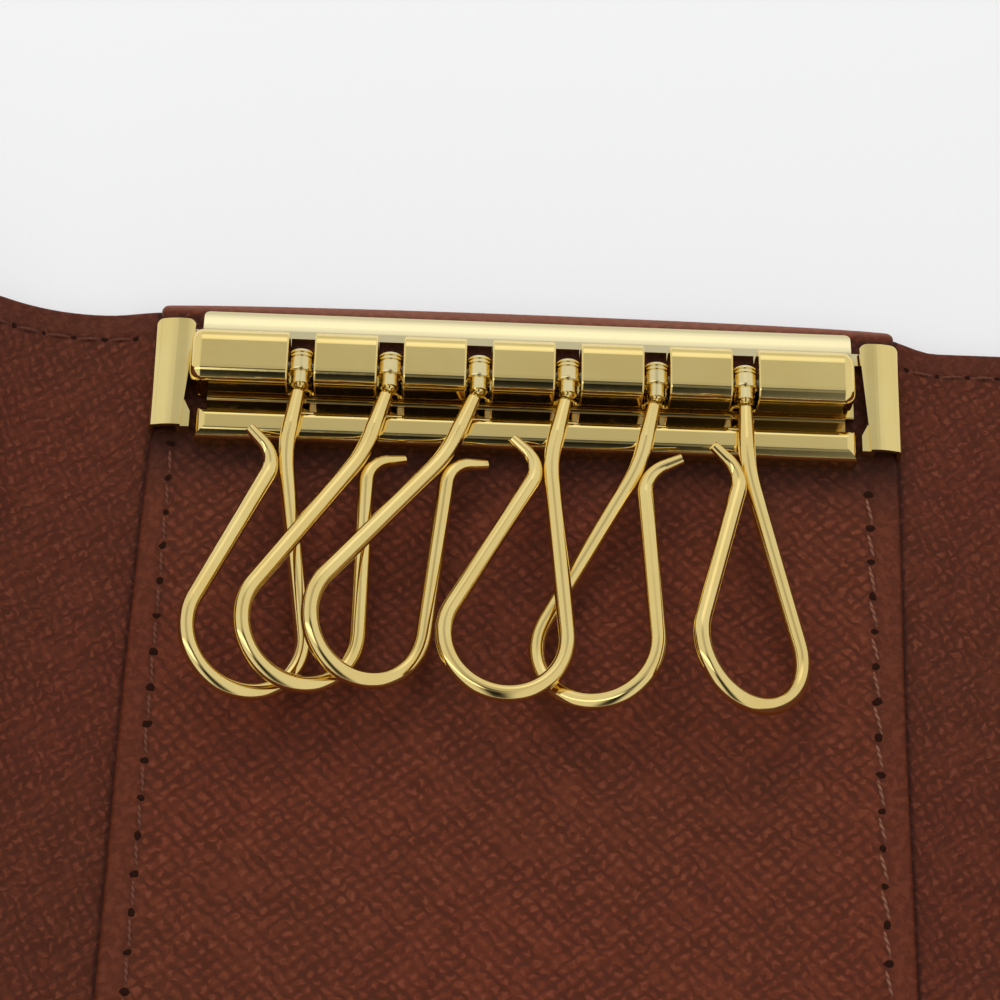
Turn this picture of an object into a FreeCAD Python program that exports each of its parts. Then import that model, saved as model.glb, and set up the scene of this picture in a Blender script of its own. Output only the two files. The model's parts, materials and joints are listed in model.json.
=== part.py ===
import FreeCAD, Part
import math
import os

# Trifold leather key case, lying open, with a six-hook bar across the top of its centre panel.
# Lengths are millimetres. X runs along the bar, Y up the case to the bar, Z up from the table.

os.makedirs("parts", exist_ok=True)

V = FreeCAD.Vector
X_AXIS = V(1, 0, 0)
Y_AXIS = V(0, 1, 0)
Z_AXIS = V(0, 0, 1)

# Leather panels
case_height = 100.0
strip_width = 66.0
panel_margin = 1.5
panel_width = strip_width + 2 * panel_margin
cover_thickness = 1.0
lining_thickness = 0.9
left_spine_width = 10.0
right_spine_width = 14.1
flap_setback = 7.0
flap_width = panel_width - flap_setback
flap_corner_radius = 6.0
fold_clearance = 0.05
board_thickness = 0.4
board_inset = 6.0
half_height = case_height / 2

# How the open panels lie, in degrees
left_spine_tilt = 8.0
left_flap_tilt = 32.0
right_spine_tilt = 2.0
right_flap_tilt = 20.0

# Centre strip that carries the hook bar
strip_thickness = 1.1
strip_overhang = 1.0
strip_top_y = half_height + strip_overhang
strip_bottom_y = strip_overhang - half_height
strip_corner_radius = 2.0
strip_skew = 0.5

# Slotted bar, set in from the strip's edges
bar_margin = 3.8
bar_length = strip_width - 2 * bar_margin
plate_setback = 0.65
flange_depth = 3.45
bar_depth = 5.3
plate_rear_y = strip_top_y - plate_setback
bar_rear_y = plate_rear_y - flange_depth
bar_front_y = bar_rear_y - bar_depth
bar_height = 3.7
bar_end_radius = 1.0
bar_front_radius = 1.15
bar_rear_radius = 1.7
slot_edge_radius = 0.18
slot_pitch = 7.8
slot_width = 2.27
slot_floor = 0.6
slot_overshoot = 1.0
window_reach = 0.7
window_depth = 3.2
window_rear_y = bar_rear_y + window_reach
window_front_y = window_rear_y - window_depth
foot_cove = 0.5
foot_edge = 0.05

# Bar base plate with its rear flange and front rail
plate_thickness = 0.6
plate_end_inset = 0.2
plate_length = bar_length - 2 * plate_end_inset
plate_corner_radius = 0.5
plate_shift = 0.45
valley_inset = 0.8
flange_slope = 2.0
flange_drop = 0.45
flange_radius = (flange_slope ** 2 + flange_drop ** 2) / (2 * flange_drop)
rail_length = plate_length
rail_gap = 1.75
rail_depth = 2.9
rail_rear_y = bar_front_y - rail_gap
rail_front_y = rail_rear_y - rail_depth
rail_height = 2.2
rail_edge_radius = 0.95

# End clips that crimp the plate tongues to the strip edges
bar_end_gap = 0.1
clip_proud = 0.1
clip_setback = 1.65
clip_length = 10.6
clip_taper = 0.75
clip_plan_radius = 0.7
clip_outer_x = strip_width / 2 + clip_proud
clip_rear_y = plate_rear_y - clip_setback
clip_front_y = clip_rear_y - clip_length
clip_flare = clip_taper * (clip_rear_y - bar_rear_y + bar_end_radius) / clip_length
clip_inner_x = bar_length / 2 + bar_end_gap + plate_shift - clip_flare
clip_wall = 0.45
clip_leg_inset = 0.3
clip_shoulder = 2.0
clip_corner = 0.55
clip_crown = 2.8
clip_crown_shift = 2.0
clip_lip = 2.6
heel_length = 3.0
heel_slant = 1.5
heel_lap = 0.4
heel_drop = 0.2
tongue_end_gap = 0.65
tongue_setback = 0.5
tongue_depth = 1.2
tongue_length = clip_outer_x - clip_wall - tongue_end_gap
tongue_rear_y = clip_rear_y - tongue_setback
tongue_front_y = tongue_rear_y - tongue_depth

# Axle rod
rod_radius = 0.5
rod_end_cover = 1.2
rod_setback = 3.6
rod_length = bar_length - 2 * rod_end_cover
rod_y = bar_rear_y - rod_setback
rod_height = 3.1
rod_seat_clearance = 0.01

# Rivets and the hidden backing plate
rivet_radius = 0.8
rivet_pitch = 31.2
rivet_grip = 1.4
backing_margin = 6.2
backing_overlap = 0.6
backing_depth = 7.6
backing_length = bar_length - 2 * backing_margin
backing_rear_y = bar_rear_y + backing_overlap
backing_front_y = backing_rear_y - backing_depth
backing_thickness = 0.4

# Swivel barrels on the rod
barrel_radius = 1.08
barrel_tail = 1.45
barrel_edge_radius = 0.22
barrel_front = 0.62
barrel_bore_clearance = 0.03
nose_radius = 0.78
barrel_lip = 0.3
groove_depth = 0.14
groove_width = 0.16
groove_spacing = 0.38
groove_first = 0.3
ball_reach = 1.45
ball_radius = 0.58
ball_clearance = 0.05

# Key hooks, each one bent wire with a ball end
wire_radius = 0.75
neck_root_radius = 0.36
neck_radius = 0.575
neck_root_end = 0.6
neck_cone_end = 1.05
neck_taper_end = 4.4
apex_reach = 7.17
apex_bend = 2.0
loop_centre_reach = 24.38
loop_radius = 5.19
gate_offset = 1.1
gate_rise = 2.6
tip_radius = 2.6
tip_sweep = 75.0
tip_length = 1.6
tip_end_radius = 0.45

# How the hooks lie on the strip, one value a hook from left to right, in degrees
hook_swings = (1.8, 2.9, 2.5, 2.8, 0.0, 3.7)
hook_leans = (7.6, 15.4, 20.9, 11.7, 11.9, 0.0)
hook_twists = (-24.5, -24.2, -25.7, -5.3, 15.1, -30.0)
hook_flips = (0.0, 180.0, 180.0, 0.0, 180.0, 0.0)

# Press snaps, two pairs
snap_spread_share = 0.56
snap_spread = case_height * snap_spread_share
stud_reach = 15.0
cap_reach = panel_width - stud_reach
stud_flange_radius = 4.2
stud_flange_thickness = 0.5
stud_neck_radius = 1.5
stud_bulb_radius = 1.9
stud_height = 2.0
stud_bulb_height = 0.8
post_radius = 1.1
post_head_radius = 3.4
post_head_thickness = 0.3
socket_radius = 4.6
socket_height = 1.5
socket_bore_radius = 2.15
socket_rim_radius = 0.5
cap_radius = 6.0
cap_height = 1.2
cap_dome = 0.9

# Heights that follow from the layers
lining_bottom = cover_thickness
fold_height = cover_thickness + lining_thickness
strip_top = fold_height + strip_thickness
plate_top = strip_top + plate_thickness
rod_z = strip_top + rod_height
half_panel = panel_width / 2
left_fold_x = -half_panel - left_spine_width
right_fold_x = half_panel + right_spine_width
slot_xs = [(i - 2.5) * slot_pitch for i in range(6)]


def block(x0, x1, y0, y1, z0, z1):
    return Part.makeBox(x1 - x0, y1 - y0, z1 - z0, V(x0, y0, z0))


def rounded(shape, radius, wanted):
    edges = [e for e in shape.Edges if wanted(e)]
    return shape.makeFillet(radius, edges)


def upright_at(e, xs, ys):
    a = e.Vertexes[0].Point
    b = e.Vertexes[-1].Point
    same = abs(a.x - b.x) + abs(a.y - b.y) < fold_clearance
    near_x = min(abs(a.x - x) for x in xs) < fold_clearance
    near_y = min(abs(a.y - y) for y in ys) < fold_clearance
    return same and near_x and near_y


def panel(x0, x1, z0, z1, corner_x=None):
    sheet = block(x0, x1, -half_height, half_height, z0, z1)
    if corner_x is None:
        return sheet
    ends = (-half_height, half_height)
    return rounded(sheet, flap_corner_radius, lambda e: upright_at(e, (corner_x,), ends))


def turned(shape, point, axis, degrees):
    out = shape.copy()
    out.rotate(point, axis, degrees)
    return out


def lay_left_spine(shape):
    return turned(shape, V(-half_panel, 0, fold_height), Y_AXIS, left_spine_tilt)


def lay_left_flap(shape):
    bend = left_flap_tilt - left_spine_tilt
    return lay_left_spine(turned(shape, V(left_fold_x, 0, fold_height), Y_AXIS, bend))


def lay_right_spine(shape):
    return turned(shape, V(half_panel, 0, fold_height), Y_AXIS, -right_spine_tilt)


def lay_right_flap(shape):
    bend = right_flap_tilt - right_spine_tilt
    return lay_right_spine(turned(shape, V(right_fold_x, 0, fold_height), Y_AXIS, -bend))


def save(shape, node):
    shape.exportStep("parts/" + node + ".step")


# End clips: a C of sheet with a crowned top, closed round the strip edge
def end_clip(side):
    z0 = fold_height
    outer_low = V(clip_outer_x, clip_front_y, z0)
    outer_high = V(clip_outer_x, clip_front_y, z0 + clip_shoulder)
    bend_share = math.sqrt(2) / 2
    corner = V(clip_outer_x - clip_corner * (1 - bend_share), clip_front_y,
               z0 + clip_shoulder + clip_corner * bend_share)
    top_outer = V(clip_outer_x - clip_corner, clip_front_y, z0 + clip_shoulder + clip_corner)
    crown = V(clip_outer_x - clip_crown_shift, clip_front_y, z0 + clip_crown)
    lip_high = V(clip_inner_x, clip_front_y, z0 + clip_lip)
    down = V(0, 0, -clip_wall)
    inner_high = V(clip_outer_x - clip_wall, clip_front_y, z0 + clip_shoulder)
    inner_low = V(clip_outer_x - clip_wall, clip_front_y, z0 + clip_wall)
    leg_high = V(clip_inner_x + clip_leg_inset, clip_front_y, z0 + clip_wall)
    leg_low = V(clip_inner_x + clip_leg_inset, clip_front_y, z0)
    edges = [
        Part.LineSegment(outer_low, outer_high).toShape(),
        Part.Arc(outer_high, corner, top_outer).toShape(),
        Part.Arc(top_outer, crown, lip_high).toShape(),
        Part.LineSegment(lip_high, lip_high + down).toShape(),
        Part.Arc(lip_high + down, crown + down, top_outer + down).toShape(),
        Part.LineSegment(top_outer + down, inner_high).toShape(),
        Part.LineSegment(inner_high, inner_low).toShape(),
        Part.LineSegment(inner_low, leg_high).toShape(),
        Part.LineSegment(leg_high, leg_low).toShape(),
        Part.LineSegment(leg_low, outer_low).toShape(),
    ]
    face = Part.Face(Part.Wire(edges))
    clip = face.extrude(V(0, clip_rear_y - clip_front_y, 0))
    plan = block(clip_inner_x, clip_outer_x, clip_front_y, clip_rear_y, z0, z0 + clip_crown)
    plan = rounded(plan, clip_plan_radius,
                   lambda e: upright_at(e, (clip_inner_x, clip_outer_x), (clip_rear_y,)))
    clip = clip.common(plan)
    hood_low = z0 + clip_shoulder
    wedge = Part.makePolygon([
        V(clip_inner_x, clip_rear_y, hood_low),
        V(clip_inner_x, clip_front_y, hood_low),
        V(clip_inner_x + clip_taper, clip_front_y, hood_low),
        V(clip_inner_x, clip_rear_y, hood_low),
    ])
    clip = clip.cut(Part.Face(wedge).extrude(V(0, 0, clip_crown)))
    heel_x = clip_inner_x + clip_taper + heel_lap
    heel = Part.makePolygon([
        V(clip_inner_x, clip_front_y, strip_top),
        V(heel_x, clip_front_y, strip_top),
        V(heel_x, clip_front_y + heel_length, strip_top),
        V(clip_inner_x + clip_taper, clip_front_y + heel_length, strip_top),
        V(clip_inner_x, clip_front_y + heel_length - heel_slant, strip_top),
        V(clip_inner_x, clip_front_y, strip_top),
    ])
    heel_height = z0 + clip_lip - heel_drop - strip_top
    clip = clip.fuse(Part.Face(heel).extrude(V(0, 0, heel_height))).removeSplitter()
    if side < 0:
        clip = clip.mirror(V(0, 0, 0), X_AXIS)
    clip.translate(V(plate_shift, 0, 0))
    return clip


clip_left = end_clip(-1)
clip_right = end_clip(1)

# Rivets from the bar down to the backing plate
rivet_xs = (-rivet_pitch / 2, rivet_pitch / 2)
rivet_length = plate_top + rivet_grip - lining_bottom
rivets = [Part.makeCylinder(rivet_radius, rivet_length, V(x, rod_y, lining_bottom)) for x in rivet_xs]
rivet_group = Part.makeCompound(rivets)

backing = block(-backing_length / 2, backing_length / 2, backing_front_y, backing_rear_y,
                lining_bottom, lining_bottom + backing_thickness)
backing_pocket = backing.copy()
for rivet in rivets:
    backing = backing.cut(rivet)

# Centre panel of the case
cover_centre = panel(-half_panel + fold_clearance, half_panel - fold_clearance, 0, cover_thickness)
board_x = half_panel - board_inset
board_centre = block(-board_x, board_x, -half_height + board_inset, backing_front_y - board_inset,
                     lining_bottom, lining_bottom + board_thickness)
lining_centre = panel(-half_panel + fold_clearance, half_panel - fold_clearance, lining_bottom, fold_height)
lining_centre = lining_centre.cut(board_centre)
lining_centre = lining_centre.cut(backing_pocket)
for rivet in rivets:
    lining_centre = lining_centre.cut(rivet)

# Centre strip
half_strip = strip_width / 2
strip_plan = Part.makePolygon([
    V(-half_strip, strip_bottom_y, fold_height),
    V(half_strip, strip_bottom_y, fold_height),
    V(half_strip + strip_skew, strip_top_y, fold_height),
    V(strip_skew - half_strip, strip_top_y, fold_height),
    V(-half_strip, strip_bottom_y, fold_height),
])
strip = Part.Face(strip_plan).extrude(V(0, 0, strip_thickness))
strip_xs = (-half_strip, half_strip, half_strip + strip_skew, strip_skew - half_strip)
strip = rounded(strip, strip_corner_radius,
                lambda e: upright_at(e, strip_xs, (strip_bottom_y, strip_top_y)))
for piece in (clip_left, clip_right, rivets[0], rivets[1]):
    strip = strip.cut(piece)

# Bar base plate: floor with rear flange, end tongues and the rounded front rail
plate_left = plate_shift - plate_length / 2
plate_right = plate_shift + plate_length / 2
floor = block(plate_left, plate_right, rail_front_y + rail_edge_radius, plate_rear_y, strip_top, plate_top)
floor = rounded(floor, plate_corner_radius,
                lambda e: upright_at(e, (plate_left, plate_right), (plate_rear_y,)))
slope_start = V(-plate_length, plate_rear_y - flange_slope, plate_top)
slope_edge = V(-plate_length, plate_rear_y, plate_top)
slope_end = V(-plate_length, plate_rear_y, plate_top - flange_drop)
slope_turn = math.asin(flange_slope / flange_radius) / 2
slope_rise = flange_radius * (1 - math.cos(slope_turn))
slope_middle = slope_start + V(0, flange_radius * math.sin(slope_turn), -slope_rise)
slope = Part.Wire([
    Part.LineSegment(slope_start, slope_edge).toShape(),
    Part.LineSegment(slope_edge, slope_end).toShape(),
    Part.Arc(slope_end, slope_middle, slope_start).toShape(),
])
floor = floor.cut(Part.Face(slope).extrude(V(2 * plate_length, 0, 0)))
for end in (plate_left, plate_right - valley_inset):
    floor = floor.cut(block(end, end + valley_inset, rail_rear_y, bar_front_y, strip_top, plate_top))
tongue = block(plate_shift - tongue_length, plate_shift + tongue_length, tongue_front_y, tongue_rear_y,
               strip_top, plate_top)
rail = block(plate_shift - rail_length / 2, plate_shift + rail_length / 2, rail_front_y, rail_rear_y,
             strip_top, strip_top + rail_height)


def on_top(e, z):
    return all(abs(v.Point.z - z) < fold_clearance for v in e.Vertexes)


rail = rounded(rail, rail_edge_radius, lambda e: on_top(e, strip_top + rail_height))
plate = floor.fuse(tongue).fuse(rail).removeSplitter()
for rivet in rivets:
    plate = plate.cut(rivet)

# Slotted bar: seven blocks on one web, bored for the rod
bar = block(-bar_length / 2, bar_length / 2, bar_front_y, bar_rear_y, plate_top, plate_top + bar_height)


def along_bar(e, y):
    on_line = all(abs(v.Point.y - y) < fold_clearance for v in e.Vertexes)
    return on_line and e.Length > bar_depth and on_top(e, plate_top + bar_height)


def on_bar_end(e):
    at_end = all(abs(abs(v.Point.x) - bar_length / 2) < fold_clearance for v in e.Vertexes)
    return at_end and max(v.Point.z for v in e.Vertexes) > plate_top + fold_clearance


bar = rounded(bar, bar_rear_radius, lambda e: along_bar(e, bar_rear_y))
bar = rounded(bar, bar_front_radius, lambda e: along_bar(e, bar_front_y))
bar = rounded(bar, bar_end_radius, on_bar_end)
for x in slot_xs:
    cutter = block(x - slot_width / 2, x + slot_width / 2, bar_front_y - slot_overshoot,
                   bar_rear_y + slot_overshoot, plate_top + slot_floor,
                   plate_top + bar_height + slot_overshoot)
    bar = bar.cut(cutter)
slot_walls = [x + s * slot_width / 2 for x in slot_xs for s in (-1, 1)]


def on_slot_rim(e):
    a = e.Vertexes[0].Point
    b = e.Vertexes[-1].Point
    in_wall = abs(a.x - b.x) < fold_clearance and min(abs(a.x - x) for x in slot_walls) < fold_clearance
    low = plate_top + slot_floor + fold_clearance
    return in_wall and max(a.z, b.z) > low


bar = rounded(bar, slot_edge_radius, on_slot_rim)
rod_bore = Part.makeCylinder(rod_radius + rod_seat_clearance, rod_length,
                             V(-rod_length / 2, rod_y, rod_z), X_AXIS)
bar = bar.cut(rod_bore)
for rivet in rivets:
    bar = bar.cut(rivet)

# Foot of the bar's front, coved down to the plate
cove = block(plate_left + valley_inset, plate_right - valley_inset, bar_front_y - foot_cove, bar_front_y,
             plate_top, plate_top + foot_cove)
hollow = Part.makeCylinder(foot_cove - foot_edge, plate_length,
                           V(plate_left, bar_front_y - foot_cove, plate_top + foot_cove), X_AXIS)
bar = bar.fuse(cove.cut(hollow)).removeSplitter()

# Windows through bar and plate behind the barrels, so that the tails swing free
for x in slot_xs:
    window = block(x - slot_width / 2, x + slot_width / 2, window_front_y, window_rear_y,
                   strip_top, plate_top + slot_floor)
    plate = plate.cut(window)
    bar = bar.cut(window)
    mouth = slot_width / 2 + slot_edge_radius
    bar = bar.cut(block(x - mouth, x + mouth, bar_rear_y - slot_edge_radius, window_rear_y,
                        plate_top, plate_top + slot_floor))

rod = Part.makeCylinder(rod_radius, rod_length, V(-rod_length / 2, rod_y, rod_z), X_AXIS)


# Swivel barrel: cross-bored for the rod, ringed at its tail, with a ball seat in its nose
def swivel_barrel():
    head = Part.makeCylinder(barrel_radius, barrel_tail + barrel_front, V(0, -barrel_front, 0), Y_AXIS)
    rims = [e for e in head.Edges if len(e.Vertexes) == 1]
    head = head.makeFillet(barrel_edge_radius, rims)
    nose = Part.makeCylinder(nose_radius, ball_reach + barrel_lip, V(0, -ball_reach - barrel_lip, 0), Y_AXIS)
    body = head.fuse(nose)
    bore = Part.makeCylinder(rod_radius + barrel_bore_clearance, slot_width,
                             V(-slot_width / 2, 0, 0), X_AXIS)
    seat = Part.makeSphere(ball_radius + ball_clearance, V(0, -ball_reach, 0))
    body = body.cut(bore).cut(seat)
    for i in range(2):
        y = barrel_tail - groove_first - i * groove_spacing
        ring = Part.makeCylinder(slot_width, groove_width, V(0, y - groove_width, 0), Y_AXIS)
        core = Part.makeCylinder(barrel_radius - groove_depth, groove_width, V(0, y - groove_width, 0), Y_AXIS)
        body = body.cut(ring.cut(core))
    return body


# Key hook: ball, tapered neck, teardrop loop, and a gate end that flares off the shank
def key_hook():
    half_angle = math.asin(loop_radius / (loop_centre_reach - apex_reach))
    bend_radius = apex_bend / math.tan(half_angle / 2)
    bend_y = -(apex_reach - apex_bend)

    def on_bend(t):
        return V(bend_radius - bend_radius * math.cos(t), bend_y - bend_radius * math.sin(t), 0)

    centre = V(0, -loop_centre_reach, 0)
    start = V(0, -neck_taper_end, 0)
    shank_end = centre + V(math.cos(half_angle), math.sin(half_angle), 0) * loop_radius
    bottom = centre + V(0, -loop_radius, 0)
    gate = V(-gate_offset, -(apex_reach + gate_rise), 0)
    to_gate = gate - centre
    swing = math.atan2(to_gate.y, to_gate.x) + math.acos(loop_radius / to_gate.Length)
    return_start = centre + V(math.cos(swing), math.sin(swing), 0) * loop_radius
    along = (gate - return_start).normalize()
    out = V(-along.y, along.x, 0)

    def on_tip(q):
        return gate + along * (tip_radius * math.sin(q)) + out * (tip_radius * (1 - math.cos(q)))

    sweep = math.radians(tip_sweep)
    tip_start = on_tip(sweep)
    tip_way = along * math.cos(sweep) + out * math.sin(sweep)
    tip_end = tip_start + tip_way * tip_length
    path = Part.Wire([
        Part.LineSegment(start, on_bend(0)).toShape(),
        Part.Arc(on_bend(0), on_bend(half_angle / 2), on_bend(half_angle)).toShape(),
        Part.LineSegment(on_bend(half_angle), shank_end).toShape(),
        Part.Arc(shank_end, bottom, return_start).toShape(),
        Part.LineSegment(return_start, gate).toShape(),
    ])
    profile = Part.Wire([Part.makeCircle(wire_radius, start, Y_AXIS)])
    loop = path.makePipeShell([profile], True, False)
    ball = Part.makeSphere(ball_radius)
    down = V(0, -1, 0)
    root = Part.makeCylinder(neck_root_radius, neck_root_end, V(0, 0, 0), down)
    cone = Part.makeCone(neck_root_radius, neck_radius, neck_cone_end - neck_root_end,
                         V(0, -neck_root_end, 0), down)
    taper = Part.makeCone(neck_radius, wire_radius, neck_taper_end - neck_cone_end,
                          V(0, -neck_cone_end, 0), down)
    tip_path = Part.Wire([
        Part.Arc(gate, on_tip(sweep / 2), tip_start).toShape(),
        Part.LineSegment(tip_start, tip_end).toShape(),
    ])
    tip_wide = Part.Wire([Part.makeCircle(wire_radius, gate, along)])
    tip_narrow = Part.Wire([Part.makeCircle(tip_end_radius, tip_end, tip_way)])
    tip = tip_path.makePipeShell([tip_wide, tip_narrow], True, False)
    return ball.multiFuse([root, cone, taper, loop, tip]).removeSplitter()


barrel_shape = swivel_barrel()
hook_shape = key_hook()
for i, x in enumerate(slot_xs):
    raise_up = FreeCAD.Rotation(X_AXIS, -hook_swings[i])
    lean = FreeCAD.Rotation(Z_AXIS, -hook_leans[i])
    twist = FreeCAD.Rotation(Y_AXIS, -hook_twists[i] - hook_flips[i])
    centre = V(x, rod_y, rod_z)
    barrel = barrel_shape.copy()
    barrel.Placement = FreeCAD.Placement(centre, raise_up)
    hook = hook_shape.copy()
    seat = centre + raise_up.multVec(V(0, -ball_reach, 0))
    hook.Placement = FreeCAD.Placement(seat, raise_up.multiply(lean).multiply(twist))
    save(barrel, "swivel_" + str(i + 1))
    save(hook, "key_hook_" + str(i + 1))

# Snap pieces, in the plane of their flaps
snap_ys = (-snap_spread / 2, snap_spread / 2)
stud_x = left_fold_x - stud_reach
cap_x = right_fold_x + cap_reach


def snap_stud(x, y):
    flange = Part.makeCylinder(stud_flange_radius, stud_flange_thickness, V(x, y, -stud_flange_thickness))
    neck = Part.makeCylinder(stud_neck_radius, stud_height, V(x, y, -stud_height))
    bulb = Part.makeCylinder(stud_bulb_radius, stud_bulb_height, V(x, y, -stud_height))
    bulb = bulb.makeFillet(stud_bulb_height / 3, bulb.Edges)
    stud = flange.fuse(neck).fuse(bulb).removeSplitter()
    return stud.cut(Part.makeCylinder(post_radius, stud_height, V(x, y, -stud_flange_thickness)))


def stud_post(x, y):
    shank = Part.makeCylinder(post_radius, cover_thickness + stud_flange_thickness,
                              V(x, y, -stud_flange_thickness))
    head = Part.makeCylinder(post_head_radius, post_head_thickness, V(x, y, cover_thickness))
    return shank.fuse(head).removeSplitter()


def snap_cap(x, y):
    dome = Part.makeCylinder(cap_radius, cap_height, V(x, y, -cap_height))
    dome = dome.makeFillet(cap_dome, [e for e in dome.Edges if on_top(e, -cap_height)])
    shank = Part.makeCylinder(post_radius, fold_height, V(x, y, 0))
    return dome.fuse(shank).removeSplitter()


def snap_socket(x, y):
    ring = Part.makeCylinder(socket_radius, socket_height, V(x, y, fold_height))
    ring = ring.makeFillet(socket_rim_radius, [e for e in ring.Edges if on_top(e, fold_height + socket_height)])
    return ring.cut(Part.makeCylinder(socket_bore_radius, socket_height, V(x, y, fold_height)))


studs = Part.makeCompound([snap_stud(stud_x, y) for y in snap_ys])
posts = Part.makeCompound([stud_post(stud_x, y) for y in snap_ys])
caps = Part.makeCompound([snap_cap(cap_x, y) for y in snap_ys])
sockets = Part.makeCompound([snap_socket(cap_x, y) for y in snap_ys])

# Left spine and flap
left_edge = left_fold_x - flap_width
cover_left_spine = panel(left_fold_x + fold_clearance, -half_panel - fold_clearance, 0, cover_thickness)
lining_left_spine = panel(left_fold_x + fold_clearance, -half_panel - fold_clearance, lining_bottom, fold_height)
cover_left = panel(left_edge, left_fold_x - fold_clearance, 0, cover_thickness, left_edge)
lining_left = panel(left_edge, left_fold_x - fold_clearance, lining_bottom, fold_height, left_edge)
board_left = block(left_edge + board_inset, left_fold_x - board_inset, -half_height + board_inset,
                   half_height - board_inset, lining_bottom, lining_bottom + board_thickness)
for y in snap_ys:
    post = stud_post(stud_x, y)
    cover_left = cover_left.cut(post)
    board_left = board_left.cut(Part.makeCylinder(post_head_radius, board_thickness, V(stud_x, y, lining_bottom)))
lining_left = lining_left.cut(board_left)
for y in snap_ys:
    lining_left = lining_left.cut(Part.makeCylinder(post_head_radius, board_thickness, V(stud_x, y, lining_bottom)))

# Right spine and flap
right_edge = right_fold_x + flap_width
cover_right_spine = panel(half_panel + fold_clearance, right_fold_x - fold_clearance, 0, cover_thickness)
lining_right_spine = panel(half_panel + fold_clearance, right_fold_x - fold_clearance, lining_bottom, fold_height)
cover_right = panel(right_fold_x + fold_clearance, right_edge, 0, cover_thickness, right_edge)
lining_right = panel(right_fold_x + fold_clearance, right_edge, lining_bottom, fold_height, right_edge)
board_right = block(right_fold_x + board_inset, right_edge - board_inset, -half_height + board_inset,
                    half_height - board_inset, lining_bottom, lining_bottom + board_thickness)
for y in snap_ys:
    cap = snap_cap(cap_x, y)
    cover_right = cover_right.cut(cap)
    board_right = board_right.cut(cap)
    lining_right = lining_right.cut(cap)
lining_right = lining_right.cut(board_right)

# Write every piece
save(cover_centre, "outer_cover_centre")
save(lining_centre, "lining_centre")
save(board_centre, "centre_board")
save(strip, "centre_strip")
save(plate, "bar_base_plate")
save(bar, "slotted_bar")
save(rod, "axle_rod")
save(clip_left, "end_clip_left")
save(clip_right, "end_clip_right")
save(rivet_group, "bar_rivets")
save(backing, "backing_plate")
save(lay_left_spine(cover_left_spine), "outer_cover_left_spine")
save(lay_left_spine(lining_left_spine), "lining_left_spine")
save(lay_left_flap(cover_left), "outer_cover_left_flap")
save(lay_left_flap(lining_left), "lining_left_flap")
save(lay_left_flap(board_left), "left_flap_board")
save(lay_left_flap(studs), "snap_studs")
save(lay_left_flap(posts), "snap_stud_posts")
save(lay_right_spine(cover_right_spine), "outer_cover_right_spine")
save(lay_right_spine(lining_right_spine), "lining_right_spine")
save(lay_right_flap(cover_right), "outer_cover_right_flap")
save(lay_right_flap(lining_right), "lining_right_flap")
save(lay_right_flap(board_right), "right_flap_board")
save(lay_right_flap(caps), "snap_caps")
save(lay_right_flap(sockets), "snap_sockets")
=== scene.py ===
import json
import math
import random

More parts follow.
